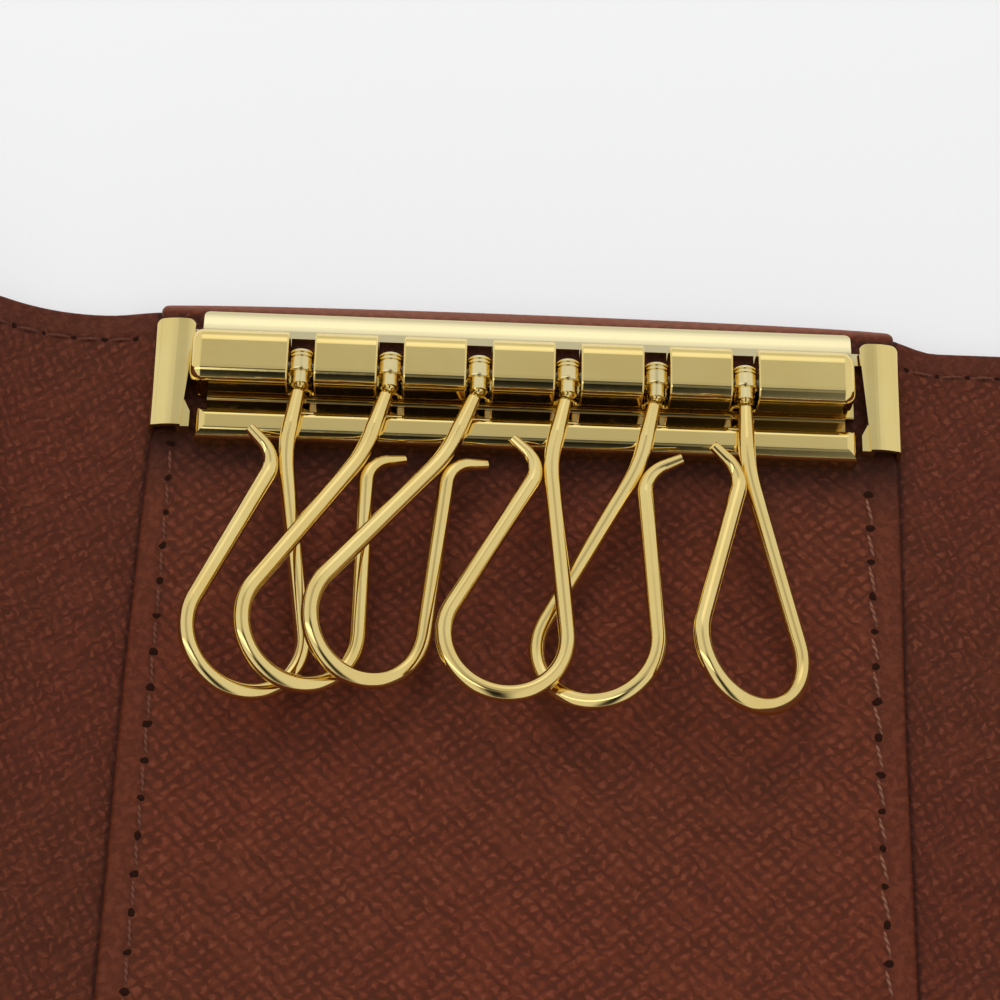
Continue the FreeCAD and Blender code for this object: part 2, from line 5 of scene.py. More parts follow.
import bmesh
import bpy
from mathutils import Matrix, Vector
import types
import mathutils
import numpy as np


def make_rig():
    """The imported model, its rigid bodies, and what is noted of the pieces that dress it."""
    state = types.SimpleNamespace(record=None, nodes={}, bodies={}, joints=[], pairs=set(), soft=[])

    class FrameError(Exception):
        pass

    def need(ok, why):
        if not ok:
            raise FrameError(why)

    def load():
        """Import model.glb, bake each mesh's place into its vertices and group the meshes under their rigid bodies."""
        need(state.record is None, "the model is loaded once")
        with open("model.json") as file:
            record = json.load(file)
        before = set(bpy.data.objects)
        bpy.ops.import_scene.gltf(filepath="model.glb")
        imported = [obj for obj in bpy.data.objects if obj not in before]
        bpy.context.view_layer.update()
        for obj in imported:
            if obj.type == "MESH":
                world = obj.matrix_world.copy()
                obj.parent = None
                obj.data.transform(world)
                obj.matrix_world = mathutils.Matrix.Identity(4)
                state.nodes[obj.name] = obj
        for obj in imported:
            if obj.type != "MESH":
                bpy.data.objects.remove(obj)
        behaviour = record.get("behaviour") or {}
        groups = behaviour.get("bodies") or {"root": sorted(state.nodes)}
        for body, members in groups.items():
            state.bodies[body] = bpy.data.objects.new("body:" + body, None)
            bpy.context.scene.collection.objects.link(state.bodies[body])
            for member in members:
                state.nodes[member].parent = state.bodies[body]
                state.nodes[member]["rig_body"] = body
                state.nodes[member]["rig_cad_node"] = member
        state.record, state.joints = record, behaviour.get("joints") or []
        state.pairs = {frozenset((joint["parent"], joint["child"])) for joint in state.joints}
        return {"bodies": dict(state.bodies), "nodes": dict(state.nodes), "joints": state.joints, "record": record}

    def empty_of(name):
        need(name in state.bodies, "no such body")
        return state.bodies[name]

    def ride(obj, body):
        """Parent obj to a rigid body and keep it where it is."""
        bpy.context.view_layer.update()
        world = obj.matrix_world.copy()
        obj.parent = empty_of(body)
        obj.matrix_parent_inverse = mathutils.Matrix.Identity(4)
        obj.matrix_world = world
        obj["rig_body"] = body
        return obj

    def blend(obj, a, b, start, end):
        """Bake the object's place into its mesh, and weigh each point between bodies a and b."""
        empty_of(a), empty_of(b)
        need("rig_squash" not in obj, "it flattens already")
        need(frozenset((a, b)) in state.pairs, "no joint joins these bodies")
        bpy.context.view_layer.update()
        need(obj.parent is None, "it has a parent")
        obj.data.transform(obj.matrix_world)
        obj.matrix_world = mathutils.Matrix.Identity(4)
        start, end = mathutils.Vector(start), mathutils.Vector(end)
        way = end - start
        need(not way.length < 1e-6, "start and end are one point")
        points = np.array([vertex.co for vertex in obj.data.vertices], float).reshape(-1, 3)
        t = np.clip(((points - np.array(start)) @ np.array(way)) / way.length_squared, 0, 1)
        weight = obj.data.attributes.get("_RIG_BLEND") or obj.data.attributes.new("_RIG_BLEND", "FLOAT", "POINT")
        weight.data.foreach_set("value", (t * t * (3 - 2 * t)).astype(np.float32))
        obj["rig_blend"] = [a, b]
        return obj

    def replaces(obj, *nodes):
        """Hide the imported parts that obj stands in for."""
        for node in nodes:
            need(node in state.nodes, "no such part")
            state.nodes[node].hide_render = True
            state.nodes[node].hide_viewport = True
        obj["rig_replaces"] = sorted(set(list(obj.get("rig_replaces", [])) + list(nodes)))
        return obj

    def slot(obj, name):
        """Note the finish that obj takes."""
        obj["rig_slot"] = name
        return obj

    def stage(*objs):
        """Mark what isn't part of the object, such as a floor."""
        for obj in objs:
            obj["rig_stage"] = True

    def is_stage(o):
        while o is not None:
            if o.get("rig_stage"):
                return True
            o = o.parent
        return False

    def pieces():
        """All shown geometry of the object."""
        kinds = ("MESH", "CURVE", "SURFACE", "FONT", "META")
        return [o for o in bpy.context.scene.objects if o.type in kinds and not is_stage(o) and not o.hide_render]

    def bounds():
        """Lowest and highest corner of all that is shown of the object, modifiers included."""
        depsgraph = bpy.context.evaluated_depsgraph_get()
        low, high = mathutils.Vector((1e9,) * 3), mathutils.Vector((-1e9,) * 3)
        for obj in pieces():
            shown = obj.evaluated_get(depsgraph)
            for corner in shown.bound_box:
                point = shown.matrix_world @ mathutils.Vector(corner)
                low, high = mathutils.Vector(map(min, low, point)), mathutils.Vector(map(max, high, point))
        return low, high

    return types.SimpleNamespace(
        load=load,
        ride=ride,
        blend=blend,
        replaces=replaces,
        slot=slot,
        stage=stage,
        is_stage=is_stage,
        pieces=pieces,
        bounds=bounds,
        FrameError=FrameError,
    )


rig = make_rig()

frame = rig.load()
cad_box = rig.bounds()

# Outer cover: one long panel of cross-grain leather, the side that the closed case shows.
# Its edges are skived and rounded; it bends at a soft fold on both sides of each spine.
# It is made as five lengths that meet inside the flat parts, so that each follows its own fold.
mm = 0.001
half_height = 50 * mm
fold_x = 34.5 * mm
cover_bottom = 0.0
cover_top = 1.0 * mm
lining_top = 1.9 * mm
panel_end = {-1: 106.5 * mm, 1: 110.6 * mm}
bend_start = {-1: 3.5 * mm, 1: 8.5 * mm}
bend_end = {-1: 11.5 * mm, 1: 16.9 * mm}
flap_rise = {-1: math.radians(32), 1: math.radians(20)}
edge_pull = {-1: (-0.9 * mm, -0.35 * mm), 1: (-1.1 * mm, 0.42 * mm)}
pull_from, pull_over = 2.5 * mm, 5.5 * mm
pull_fade_from, pull_fade_over = 6 * mm, 3 * mm
pull_power = 5
under_strip = 30 * mm
mid_spine = {-1: 39.5 * mm, 1: 41.5 * mm}
flap_corner = 6 * mm
rim_round = 0.32 * mm
panel_step = 1.0 * mm
panel_cuts_y = (-49.2, -48, -45, -36, -24, -12, 0, 12, 24, 36, 45, 48, 49.2)
same = 1e-6
apart = 1e-5


def lay_open(point):
    """Where a point of the flat, unrolled case goes when the case lies open."""
    side = -1 if point.x < 0 else 1
    out = abs(point.x) - fold_x
    near, far = edge_pull[side]
    share = min(1.0, max(0.0, (out + pull_from) / pull_over))
    pull = near + (far - near) * share * share * (3 - 2 * share)
    pull *= min(1.0, max(0.0, (out + pull_fade_from) / pull_fade_over))
    y = point.y - pull * (point.y / half_height) * (abs(point.y) / half_height) ** pull_power
    a, b, rise = bend_start[side], bend_end[side], flap_rise[side]
    if out <= a:
        return Vector((point.x, y, point.z))
    radius = (b - a) / rise
    turn = rise * min(1.0, (out - a) / (b - a))
    past = max(0.0, out - b)
    along = a + radius * math.sin(turn) + past * math.cos(rise)
    up = radius * (1 - math.cos(turn)) + past * math.sin(rise)
    lift = point.z - lining_top
    x = fold_x + along - lift * math.sin(turn)
    return Vector((side * x, y, lining_top + up + lift * math.cos(turn)))


def finish_mesh(bm, name, materials, sharp=40):
    mesh = bpy.data.meshes.new(name)
    bm.to_mesh(mesh)
    bm.free()
    mesh.shade_smooth()
    mesh.set_sharp_from_angle(angle=math.radians(sharp))
    for material in materials:
        mesh.materials.append(material)
    piece = bpy.data.objects.new(name, mesh)
    bpy.context.scene.collection.objects.link(piece)
    return piece


def mark_flat(bm):
    """Keeps each point's place on the flat hide, so that grain and stitches follow the leather."""
    flat = bm.loops.layers.uv.new("flat")
    for face in bm.faces:
        for loop in face.loops:
            loop[flat].uv = (loop.vert.co.x * 10, loop.vert.co.y * 10)


def leather_panel(name, x0, x1, z0, z1, material, open_ends, corner_at=None):
    bm = bmesh.new()
    bmesh.ops.create_cube(bm, size=1)
    bmesh.ops.scale(bm, vec=(x1 - x0, 2 * half_height, z1 - z0), verts=bm.verts)
    bmesh.ops.translate(bm, vec=((x0 + x1) / 2, 0, (z0 + z1) / 2), verts=bm.verts)
    if corner_at is not None:
        upright = [e for e in bm.edges if all(abs(v.co.x - corner_at) < same for v in e.verts)
                   and abs(e.verts[0].co.z - e.verts[1].co.z) > apart]
        bmesh.ops.bevel(bm, geom=upright, offset=flap_corner, segments=10, profile=0.5,
                        affect="EDGES", material=-1)
    rims = [e for e in bm.edges if abs(e.verts[0].co.z - e.verts[1].co.z) < same
            and not any(all(abs(v.co.x - x) < same for v in e.verts) for x in open_ends)]
    bmesh.ops.bevel(bm, geom=rims, offset=rim_round, segments=3, profile=0.5, affect="EDGES", material=-1)
    steps = max(2, round((x1 - x0) / panel_step))
    for i in range(1, steps):
        geom = bm.verts[:] + bm.edges[:] + bm.faces[:]
        bmesh.ops.bisect_plane(bm, geom=geom, plane_co=(x0 + (x1 - x0) * i / steps, 0, 0),
                               plane_no=(1, 0, 0))
    for y in panel_cuts_y:
        geom = bm.verts[:] + bm.edges[:] + bm.faces[:]
        bmesh.ops.bisect_plane(bm, geom=geom, plane_co=(0, y * mm, 0), plane_no=(0, 1, 0))
    mark_flat(bm)
    for v in bm.verts:
        v.co = lay_open(v.co)
    return finish_mesh(bm, name, [material])


def shade(red, green, blue):
    """A colour as a swatch card gives it, 0 to 255, for a shader."""
    def one(c):
        c = c / 255
        return c / 12.92 if c <= 0.04045 else ((c + 0.055) / 1.055) ** 2.4
    return one(red), one(green), one(blue), 1.0


class Recipe:
    """A material's node tree, written as sums."""

    def __init__(self, name):
        self.material = bpy.data.materials.new(name)
        self.material.use_nodes = True
        self.nodes = self.material.node_tree.nodes
        self.links = self.material.node_tree.links
        self.skin = self.nodes["Principled BSDF"]

    def put(self, socket, value):
        if isinstance(value, bpy.types.NodeSocket):
            self.links.new(value, socket)
        elif value is not None:
            socket.default_value = value

    def sum(self, kind, a, b=None, c=None, clamp=False):
        n = self.nodes.new("ShaderNodeMath")
        n.operation = kind
        n.use_clamp = clamp
        for socket, value in zip(n.inputs, (a, b, c)):
            self.put(socket, value)
        return n.outputs[0]

    def step(self, value, low, high, to_low=0.0, to_high=1.0):
        n = self.nodes.new("ShaderNodeMapRange")
        n.interpolation_type = "SMOOTHSTEP"
        for socket, v in zip(n.inputs, (value, low, high, to_low, to_high)):
            self.put(socket, v)
        return n.outputs[0]

    def vector(self, kind, a, b=None, scale=None):
        n = self.nodes.new("ShaderNodeVectorMath")
        n.operation = kind
        self.put(n.inputs[0], a)
        self.put(n.inputs[1], b)
        self.put(n.inputs[3], scale)
        return n.outputs["Value"] if kind == "DOT_PRODUCT" else n.outputs[0]

    def split(self, vector):
        n = self.nodes.new("ShaderNodeSeparateXYZ")
        self.put(n.inputs[0], vector)
        return n.outputs

    def noise(self, vector, scale, detail=2.0, colour=False):
        n = self.nodes.new("ShaderNodeTexNoise")
        self.put(n.inputs["Vector"], vector)
        n.inputs["Scale"].default_value = scale
        n.inputs["Detail"].default_value = detail
        return n.outputs["Color" if colour else "Fac"]

    def mix(self, share, a, b, kind="MIX"):
        n = self.nodes.new("ShaderNodeMix")
        n.data_type = "RGBA"
        n.blend_type = kind
        self.put(n.inputs[0], share)
        self.put(n.inputs[6], a)
        self.put(n.inputs[7], b)
        return n.outputs[2]

    def relief(self, height, strength, distance):
        n = self.nodes.new("ShaderNodeBump")
        n.inputs["Strength"].default_value = strength
        n.inputs["Distance"].default_value = distance
        self.put(n.inputs["Height"], height)
        self.put(self.skin.inputs["Normal"], n.outputs[0])

    def flat_hide(self):
        """Millimetres on the flat hide."""
        n = self.nodes.new("ShaderNodeUVMap")
        n.uv_map = "flat"
        return self.vector("SCALE", n.outputs[0], scale=100.0)

    def solid(self):
        """Millimetres in the case's own frame."""
        n = self.nodes.new("ShaderNodeTexCoord")
        return self.vector("SCALE", n.outputs["Object"], scale=1000.0)


def crossgrain_leather(name, colour, groove, main_angle, pitch, narrow, relief, stain, pebble, loose,
                       smooth_band, seam, strip_edge_shade=None, bar_shadow_span=None, painted_rear_sheen=None):
    """Leather printed with two families of slanting grooves. smooth_band gives the half sizes of the
    printed field in millimetres, past which the turned edge is plain; seam the half sizes of the sewn line;
    stain how much darker the grooves are than the hide; pebble the depth of the fine grain between them;
    loose how far, in millimetres, the print wanders; strip_edge_shade the half width of a piece laid on top,
    beside whose edge a line of painted shade darkens the hide; bar_shadow_span the stretch below and under
    the metal, where painted shadow darkens the hide; painted_rear_sheen where a pale painted highlight starts."""
    r = Recipe(name)
    hide = r.flat_hide()
    wander = r.noise(hide, 0.45, 2.0, colour=True)
    wander = r.vector("SCALE", r.vector("SUBTRACT", wander, (0.5, 0.5, 0.5)), scale=0.9)
    jitter = r.noise(hide, 1.3, 1.0, colour=True)
    jitter = r.vector("SCALE", r.vector("SUBTRACT", jitter, (0.5, 0.5, 0.5)), scale=loose)
    place = r.vector("ADD", r.vector("ADD", hide, wander), jitter)
    heights = []
    for angle, spacing in ((main_angle, pitch), (main_angle + 80, pitch * 0.95)):
        turn = math.radians(angle)
        wave = 2 * math.pi / spacing
        across = (math.cos(turn) * wave, math.sin(turn) * wave, 0.0)
        ridge = r.sum("SINE", r.vector("DOT_PRODUCT", place, across))
        heights.append(r.step(ridge, -1.0, narrow))
    cross = r.step(r.noise(hide, 0.25, 2.0), 0.3, 0.65, 0.25, 0.9)
    second = r.sum("SUBTRACT", 1.0, r.sum("MULTIPLY", r.sum("SUBTRACT", 1.0, heights[1]), cross))
    first_share = r.step(r.noise(hide, 0.55, 2.0), 0.3, 0.65, 0.3, 1.0)
    first = r.sum("SUBTRACT", 1.0, r.sum("MULTIPLY", r.sum("SUBTRACT", 1.0, heights[0]), first_share))
    fine = r.step(r.noise(place, 1.5, 1.5), 0.36, 0.64)
    grain = r.sum("MULTIPLY", r.sum("MULTIPLY", first, second),
                  r.sum("MULTIPLY_ADD", fine, pebble, 1.0 - pebble))
    pores = r.noise(hide, 5.0, 3.0)
    u, v, _ = r.split(hide)
    from_edge = r.sum("MAXIMUM", r.sum("SUBTRACT", r.sum("ABSOLUTE", u), smooth_band[0]),
                      r.sum("SUBTRACT", r.sum("ABSOLUTE", v), smooth_band[1]))
    band = r.step(from_edge, -0.35, 0.45)
    plain = r.sum("MULTIPLY_ADD", fine, 0.5, r.sum("MULTIPLY_ADD", pores, 0.3, 0.2))
    grain = r.sum("ADD", r.sum("MULTIPLY", grain, r.sum("SUBTRACT", 1.0, band)),
                  r.sum("MULTIPLY", plain, band))
    from_seam = r.sum("MAXIMUM", r.sum("SUBTRACT", r.sum("ABSOLUTE", u), seam[0]),
                      r.sum("SUBTRACT", r.sum("ABSOLUTE", v), seam[1]))
    pulled = r.step(r.sum("ABSOLUTE", from_seam), 0.0, 0.75)
    height = r.sum("ADD", r.sum("MULTIPLY_ADD", pores, 0.14, grain), r.sum("MULTIPLY", pulled, 0.8))
    r.relief(height, 0.85, relief)
    dye = r.noise(hide, 0.045, 3.0)
    rub_and_highlight_patches = r.noise(hide, 0.6, 4.0)
    # Painted highlight: the tops of the grain bumps are made paler in patches; the same noise also varies the gloss.
    bump_highlight_tone = tuple(min(1.0, c * 1.2 + 0.012) for c in colour[:3]) + (1.0,)
    redder = tuple(c * k for c, k in zip(colour, (1.10, 0.98, 1.02, 1.0)))
    body = r.mix(r.step(dye, 0.32, 0.68), colour, redder)
    painted_bump_highlight = r.sum("MULTIPLY", r.step(grain, 0.62, 0.98), r.step(rub_and_highlight_patches, 0.36, 0.66, 0.12, 0.6))
    body = r.mix(painted_bump_highlight, body, bump_highlight_tone)
    sunk = r.sum("MULTIPLY", r.sum("SUBTRACT", 1.0, grain), stain, clamp=True)
    body = r.mix(sunk, body, groove)
    # Painted shade: the hide is darkened along the sunken groove of the sewn line.
    body = r.mix(r.sum("MULTIPLY", r.sum("SUBTRACT", 1.0, pulled), 0.35), body, groove)
    body = r.mix(r.sum("MULTIPLY", band, 0.25), body, groove)
    # Painted shade: a dark line on the hide along the edge of a piece laid on top of it.
    if strip_edge_shade is not None:
        skewed = r.sum("SUBTRACT", u, r.step(v, 8.0, 46.0, 0.0, 0.5))
        beside = r.sum("SUBTRACT", r.sum("ABSOLUTE", skewed), strip_edge_shade)
        body = r.mix(r.step(r.sum("ABSOLUTE", beside), 0.1, 0.5, 0.6, 0.0), body, shade(34, 11, 6))
    # Painted shadow: the hide below and under the metal bar is darkened, as the bar's shadow.
    if bar_shadow_span is not None:
        painted_bar_shadow = r.sum("MULTIPLY", r.step(v, bar_shadow_span[0], bar_shadow_span[0] + 7.0),
                        r.step(v, bar_shadow_span[1], bar_shadow_span[1] + 0.7, 0.62, 0.0))
        body = r.mix(painted_bar_shadow, body, shade(26, 10, 6))
    # Painted highlight: a paler band along the rear edge, where light from behind grazes it.
    if painted_rear_sheen is not None:
        body = r.mix(r.step(v, painted_rear_sheen, painted_rear_sheen + 0.7, 0.0, 0.7), body, shade(134, 88, 72))
    r.put(r.skin.inputs["Base Color"], body)
    r.put(r.skin.inputs["Roughness"], r.sum("MULTIPLY_ADD", r.sum("SUBTRACT", 1.0, grain), 0.22,
                                            r.step(rub_and_highlight_patches, 0.3, 0.7, 0.42, 0.54)))
    r.skin.inputs["Specular IOR Level"].default_value = 0.16
    return r.material


def split_panels(layer, z0, z1, material, slot, node_layer):
    centre = leather_panel(layer + "_centre", -under_strip, under_strip, z0, z1, material,
                           (-under_strip, under_strip))
    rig.ride(centre, "case_back")
    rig.replaces(centre, node_layer + "_centre")
    pieces = [centre]
    for side, word in ((-1, "left"), (1, "right")):
        spine_body, flap_body = word + "_spine", word + "_flap"
        ends = sorted((side * under_strip, side * mid_spine[side]))
        fold = leather_panel(layer + "_" + word + "_fold", ends[0], ends[1], z0, z1, material, ends)
        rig.blend(fold, "case_back", spine_body, **fold_zone(side, -1.5, mid_spine[side] / mm - 35.5))
        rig.replaces(fold, node_layer + "_" + spine_body)
        ends = sorted((side * mid_spine[side], side * panel_end[side]))
        flap = leather_panel(layer + "_" + word + "_flap", ends[0], ends[1], z0, z1, material,
                             (side * mid_spine[side],), corner_at=side * panel_end[side])
        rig.blend(flap, spine_body, flap_body, **flap_zone(side))
        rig.replaces(flap, node_layer + "_" + flap_body)
        pieces += [fold, flap]
    for piece in pieces:
        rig.slot(piece, slot)


def fold_zone(side, low, high):
    start = lay_open(Vector((side * (fold_x + low * mm), 0, lining_top)))
    end = lay_open(Vector((side * (fold_x + high * mm), 0, lining_top)))
    return {"start": tuple(start), "end": tuple(end)}


def flap_zone(side):
    return fold_zone(side, 6, 14) if side < 0 else fold_zone(side, 8, 20)


cover_brown = shade(95, 44, 23)
cover_groove = shade(48, 20, 12)
groove_width = 0.6
grain_depth = 0.06 * mm
printed_field = (104.0, 47.9)
sewn_line = (200.0, 47.45)
cover_leather = crossgrain_leather(
    "cover_leather", cover_brown, cover_groove, main_angle=126, pitch=0.95, narrow=groove_width,
    relief=grain_depth, stain=0.5, pebble=0.2, loose=0.9, smooth_band=printed_field, seam=sewn_line)
split_panels("cover_leather", cover_bottom, cover_top, cover_leather, "cover_leather", "outer_cover")

# Lining: the leather that faces the keys, bonded to the cover and cut to the same outline.
# It is softer and more worn than the strip, with its print stretched open along the folds.
lining_brown = shade(95, 44, 23)
lining_groove = shade(44, 18, 11)
# The lining carries a line of painted shade beside each long edge of the strip.
lining_leather = crossgrain_leather(
    "lining_leather", lining_brown, lining_groove, main_angle=126, pitch=0.92, narrow=groove_width,
    relief=grain_depth, stain=0.62, pebble=0.5, loose=1.2, smooth_band=printed_field, seam=sewn_line,
    strip_edge_shade=33.1)
split_panels("lining_leather", cover_top, lining_top, lining_leather, "lining_leather", "lining")

# Boards: thin bonded fibre sheets between lining and cover that keep the centre and the flaps flat.
# They stay hidden inside the case.


def dress(node, material):
    mesh = frame["nodes"][node].data
    mesh.materials.clear()
    mesh.materials.append(material)


board = Recipe("fibre_board")
fibres = board.noise(board.vector("MULTIPLY", board.solid(), (0.4, 2.5, 2.5)), 1.2, 5.0)
board.put(board.skin.inputs["Base Color"], board.mix(fibres, shade(112, 92, 70), shade(158, 134, 104)))
board.put(board.skin.inputs["Roughness"], board.step(fibres, 0.3, 0.7, 0.75, 0.95))
board.relief(fibres, 0.4, 0.05 * mm)
for node in ("centre_board", "left_flap_board", "right_flap_board"):
    dress(node, board.material)

# Centre strip: a thicker leather piece with turned, rounded long edges, laid on the lining.
# It carries the bar and is sewn down along both sides and across its lower end.
strip_half = 33 * mm
strip_rear = 51 * mm
strip_front = -49 * mm
strip_top = 3.0 * mm
sewn_x = 30.6 * mm
strip_corner = 0.6 * mm
strip_rim = 0.55 * mm
bm = bmesh.new()
bmesh.ops.create_cube(bm, size=1)
bmesh.ops.scale(bm, vec=(2 * strip_half, strip_rear - strip_front, strip_top - lining_top), verts=bm.verts)
bmesh.ops.translate(bm, vec=(0, (strip_rear + strip_front) / 2, (strip_top + lining_top) / 2), verts=bm.verts)
corners = [e for e in bm.edges if abs(e.verts[0].co.z - e.verts[1].co.z) > apart]
bmesh.ops.bevel(bm, geom=corners, offset=strip_corner, segments=5, profile=0.5, affect="EDGES", material=-1)
rims = [e for e in bm.edges if all(abs(v.co.z - strip_top) < same for v in e.verts)]
bmesh.ops.bevel(bm, geom=rims, offset=strip_rim, segments=5, profile=0.5, affect="EDGES", material=-1)
clip_rear, clip_front = 48.75 * mm, 38.05 * mm
clip_margin = 0.6 * mm
cuts = [clip_front - clip_margin, clip_front, clip_rear, clip_rear + clip_margin]
cuts += [strip_front + i * 4 * mm for i in range(1, 25)]
for y in cuts:
    bmesh.ops.bisect_plane(bm, geom=bm.verts[:] + bm.edges[:] + bm.faces[:], plane_co=(0, y, 0),
                           plane_no=(0, 1, 0))
for i in range(-16, 17):
    bmesh.ops.bisect_plane(bm, geom=bm.verts[:] + bm.edges[:] + bm.faces[:], plane_co=(i * 2 * mm, 0, 0),
                           plane_no=(1, 0, 0))
strip_skew = 0.5 * mm
skew_from, skew_over = 8 * mm, 38 * mm
rear_bow = 0.55 * mm
bow_from, bow_over = 49 * mm, 1.4 * mm
under_clip = 29 * mm
pinched = 0.46 * mm
clip_grip = {-1: 32.18 * mm, 1: 33.08 * mm}
for v in bm.verts:
    share = max(0.0, min(1.0, (v.co.y - skew_from) / skew_over))
    v.co.x += strip_skew * share * share * (3 - 2 * share)
    bow = max(0.0, 1 - (v.co.x / strip_half) ** 2) ** 0.6
    v.co.y += rear_bow * bow * max(0.0, min(1.0, (v.co.y - bow_from) / bow_over))
    side = -1 if v.co.x < 0 else 1
    if clip_front - apart < v.co.y < clip_rear + apart and abs(v.co.x) > under_clip:
        v.co.z = max(v.co.z, lining_top + pinched)
        v.co.x = side * min(abs(v.co.x), clip_grip[side])
mark_flat(bm)
strip_brown = shade(103, 48, 25)
strip_groove = shade(64, 28, 16)
# The strip carries a painted shadow below and under the bar, and a painted highlight along its rear edge.
strip_leather = crossgrain_leather(
    "strip_leather", strip_brown, strip_groove, main_angle=46, pitch=0.98, narrow=groove_width,
    relief=grain_depth, stain=0.8, pebble=0.4, loose=0.95, smooth_band=(30.9, 60.0), seam=(30.6, 60.0),
    bar_shadow_span=(30.5, 49.6), painted_rear_sheen=50.2)
strip = finish_mesh(bm, "strip_leather_piece", [strip_leather])
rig.ride(strip, "case_back")
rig.replaces(strip, "centre_strip")
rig.slot(strip, "strip_leather")

# Sewing: two-ply thread in a lock stitch, brown on the left and tan on the right, pulled into punched holes.
# The strip has its own rows; the case is sewn through all round its edge, so both sides show stitches.
thread_radius = 0.18 * mm
stitch_gap = 0.35 * mm
stitch_dip = 0.26 * mm
edge_inset = 2.55 * mm
edge_pitch = 2.75 * mm
thread = Recipe("tan_thread")
on_hide = thread.flat_hide()
ply = thread.sum("SINE", thread.vector("DOT_PRODUCT", on_hide, (11.0, 11.0, 0.0)))
fuzz = thread.noise(on_hide, 3.0, 4.0)
brown_ply = thread.mix(thread.step(ply, -0.8, 0.6), shade(82, 45, 33), shade(110, 68, 53))
tan_ply = thread.mix(thread.step(ply, -0.8, 0.6), shade(98, 60, 46), shade(136, 92, 71))
across = thread.split(on_hide)[0]
thread_body = thread.mix(thread.step(across, -20.0, 20.0), brown_ply, tan_ply)
past_strip = thread.step(thread.sum("ABSOLUTE", across), 33.5, 34.5, 0.0, 0.8)
thread_body = thread.mix(past_strip, thread_body, shade(86, 46, 34))
thread_body = thread.mix(thread.step(fuzz, 0.35, 0.75, 0.0, 0.5), thread_body, shade(90, 52, 39))
thread.put(thread.skin.inputs["Base Color"], thread_body)
thread.put(thread.skin.inputs["Roughness"], thread.step(fuzz, 0.3, 0.7, 0.55, 0.75))
thread.skin.inputs["Specular IOR Level"].default_value = 0.12
thread.relief(ply, 0.35, 0.03 * mm)
# The needle holes are flat dark discs: painted shade standing in for the depth of each hole.
hole_shade = Recipe("needle_hole_shade")
torn = hole_shade.noise(hole_shade.flat_hide(), 4.0, 3.0)
hole_shade.put(hole_shade.skin.inputs["Base Color"], hole_shade.mix(torn, shade(24, 9, 4), shade(46, 20, 11)))
hole_shade.put(hole_shade.skin.inputs["Roughness"], hole_shade.step(torn, 0.3, 0.7, 0.8, 1.0))
hole_shade.skin.inputs["Specular IOR Level"].default_value = 0.1
hand = random.Random(7)


def add_stitch(bm, a, b, level, up, lean):
    mid = (a + b) / 2
    run = b - a
    length = run.length - stitch_gap
    ball = bmesh.ops.create_uvsphere(bm, u_segments=7, v_segments=6, radius=thread_radius)["verts"]
    bmesh.ops.rotate(bm, verts=ball, cent=(0, 0, 0), matrix=Matrix.Rotation(math.pi / 2, 3, "Y"))
    for v in ball:
        share = max(-1.0, min(1.0, v.co.x / (0.45 * thread_radius)))
        v.co.x += share * (length / 2 - thread_radius)
        v.co.z -= stitch_dip * (2 * v.co.x / length) ** 4
    turn = math.atan2(run.y, run.x) + lean + hand.uniform(-0.03, 0.03)
    bmesh.ops.rotate(bm, verts=ball, cent=(0, 0, 0), matrix=Matrix.Rotation(turn, 3, "Z"))
    for v in ball:
        v.co.z *= up
    sunk = up * (0.03 + hand.uniform(-0.03, 0.02)) * mm
    bmesh.ops.translate(bm, verts=ball, vec=(mid.x, mid.y, level + sunk))


# Each hole is a flattened dark disc of painted shade on the surface.
def add_hole(bm, at, level, radius):
    dot = bmesh.ops.create_uvsphere(bm, u_segments=8, v_segments=4, radius=radius)["verts"]
    bmesh.ops.scale(bm, verts=dot, vec=(hand.uniform(0.85, 1.25), hand.uniform(0.7, 1.15), 0.11))
    for v in dot:
        v.co.xy *= hand.uniform(0.75, 1.25)
    bmesh.ops.translate(bm, verts=dot, vec=(at.x, at.y, level))
    for face in {f for v in dot for f in v.link_faces}:
        face.material_index = 1


def sew(name, rows, level, up, leans, holes_radius=0.25 * mm):
    """rows are lists of needle holes on the flat hide; a stitch joins each to the next, leaning a little."""
    bm = bmesh.new()
    for holes, lean in zip(rows, leans):
        for a, b in zip(holes, holes[1:]):
            add_stitch(bm, a, b, level, up, lean)
        for at in holes:
            add_hole(bm, at, level, holes_radius)
    bmesh.ops.recalc_face_normals(bm, faces=bm.faces)
    mark_flat(bm)
    for v in bm.verts:
        v.co = lay_open(v.co)
    return finish_mesh(bm, name, [thread.material, hole_shade.material], sharp=60)


def straight_row(start, end, pitch):
    count = max(1, round((end - start).length / pitch))
    return [start.lerp(end, i / count) for i in range(count + 1)]


left_row = [Vector((-sewn_x, (1.0 + 3.26 * k) * mm)) for k in range(11, -15, -1)]
right_row = [Vector((sewn_x, (2.0 + 3.24 * k) * mm)) for k in range(10, -15, -1)]
low_row_y = -46.4 * mm
low_row = straight_row(Vector((-sewn_x, low_row_y)), Vector((sewn_x, low_row_y)), 3.24 * mm)
strip_hole = 0.36 * mm
strip_sewing = sew("strip_sewing", [left_row, right_row, low_row], strip_top, 1, (0.08, 0.2, 0.1), strip_hole)
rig.ride(strip_sewing, "case_back")


